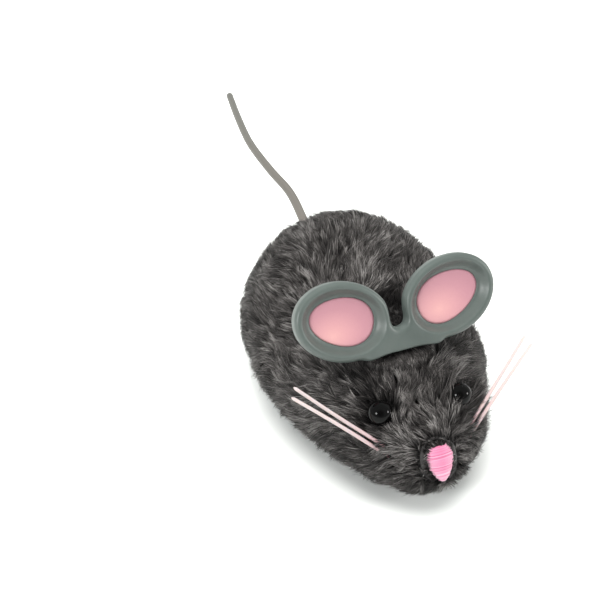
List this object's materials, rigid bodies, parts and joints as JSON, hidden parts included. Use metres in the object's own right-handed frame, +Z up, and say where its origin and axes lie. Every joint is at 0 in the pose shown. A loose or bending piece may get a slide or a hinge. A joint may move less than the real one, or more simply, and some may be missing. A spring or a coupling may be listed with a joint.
{
  "type": "clockwork mouse",
  "caption": "Plush toy mouse over a wind-up motor, wound by its one-piece plastic ears, with drive wheels, a steered front roller and a rubber tail.",
  "frame": {"origin": "on the floor under the middle of the drive axle", "axes": "-Y towards the nose, +X the mouse's left side, +Z up"},
  "size_m": [0.0634, 0.175, 0.0497],
  "materials": {
    "fur": "short brushed pile",
    "stuffing": "loose fibre",
    "nose_thread": "satin stitch",
    "eye_black": "polished",
    "washer_white": "moulded",
    "bristle": "smooth, pink at the root",
    "tail_rubber": "matt",
    "shell_black": "moulded",
    "screw_steel": "plated",
    "chassis_black": "moulded",
    "ear_grey": "smooth satin",
    "ear_pink": "smooth satin",
    "plate_steel": "stamped",
    "gear_brass": "machined",
    "spring_steel": "blued",
    "gear_nylon": "moulded",
    "pin_steel": "ground",
    "wheel_plastic": "moulded",
    "tyre_rubber": "matt"
  },
  "bodies": {
    "mouse_body": {"fur_cover": "fur", "snout_stuffing": "stuffing", "nose_embroidery": "nose_thread", "eye_left": "eye_black", "eye_right": "eye_black", "eye_washer_left": "washer_white", "eye_washer_right": "washer_white", "whisker_left_upper": "bristle", "whisker_left_lower": "bristle", "whisker_right_upper": "bristle", "whisker_right_lower": "bristle", "tail": "tail_rubber", "upper_shell": "shell_black", "shell_screws": "screw_steel", "chassis_base": "chassis_black", "mainspring": "spring_steel", "second_gear_pin": "pin_steel", "crown_gear_pin": "pin_steel", "motor_lower_plate": "plate_steel", "motor_upper_plate": "plate_steel", "motor_pillars": "gear_brass", "motor_screws": "screw_steel", "front_roller_pin": "pin_steel"},
    "ear_key_body": {"ear_key": "ear_grey", "inner_ear_left": "ear_pink", "inner_ear_right": "ear_pink", "winding_arbor": "plate_steel", "ratchet_wheel": "gear_brass"},
    "great_wheel_body": {"great_wheel": "gear_brass", "click_spring": "spring_steel"},
    "click_body": {"click_pawl": "plate_steel"},
    "second_gear_body": {"second_gear": "gear_nylon"},
    "crown_gear_body": {"crown_gear": "gear_nylon"},
    "drive_axle_body": {"drive_axle": "pin_steel", "axle_pinion": "gear_nylon", "wheel_left": "wheel_plastic", "wheel_right": "wheel_plastic", "tyre_left": "tyre_rubber", "tyre_right": "tyre_rubber"},
    "front_roller_body": {"front_roller": "wheel_plastic"}
  },
  "joints": [
    {"name": "key_wind", "type": "hinge", "parent": "mouse_body", "child": "ear_key_body", "pos_m": [0, -0.029, 0.02], "axis": [0, 0, -1], "continuous": true},
    {"name": "drive_axle_spin", "type": "hinge", "parent": "mouse_body", "child": "drive_axle_body", "pos_m": [0, 0, 0.01], "axis": [1, 0, 0], "continuous": true},
    {"name": "crown_gear_spin", "type": "hinge", "parent": "mouse_body", "child": "crown_gear_body", "pos_m": [0, 0, 0.015], "axis": [0, 0, 1], "continuous": true},
    {"name": "second_gear_spin", "type": "hinge", "parent": "mouse_body", "child": "second_gear_body", "pos_m": [0, -0.0142, 0.012], "axis": [0, 0, 1], "continuous": true},
    {"name": "great_wheel_spin", "type": "hinge", "parent": "mouse_body", "child": "great_wheel_body", "pos_m": [0, -0.029, 0.0078], "axis": [0, 0, 1], "continuous": true},
    {"name": "click_swing", "type": "hinge", "parent": "great_wheel_body", "child": "click_body", "pos_m": [0, -0.0372, 0.0093], "axis": [0, 0, 1], "range_deg": [0, 8]},
    {"name": "front_roller_spin", "type": "hinge", "parent": "mouse_body", "child": "front_roller_body", "pos_m": [0, -0.0458, 0.0035], "axis": [0.9781, 0.2079, 0], "continuous": true}
  ],
  "couplings": [
    {"joint": "crown_gear_spin", "follows": "drive_axle_spin", "ratio": 0.5},
    {"joint": "second_gear_spin", "follows": "drive_axle_spin", "ratio": -0.2},
    {"joint": "great_wheel_spin", "follows": "drive_axle_spin", "ratio": 0.066667}
  ]
}
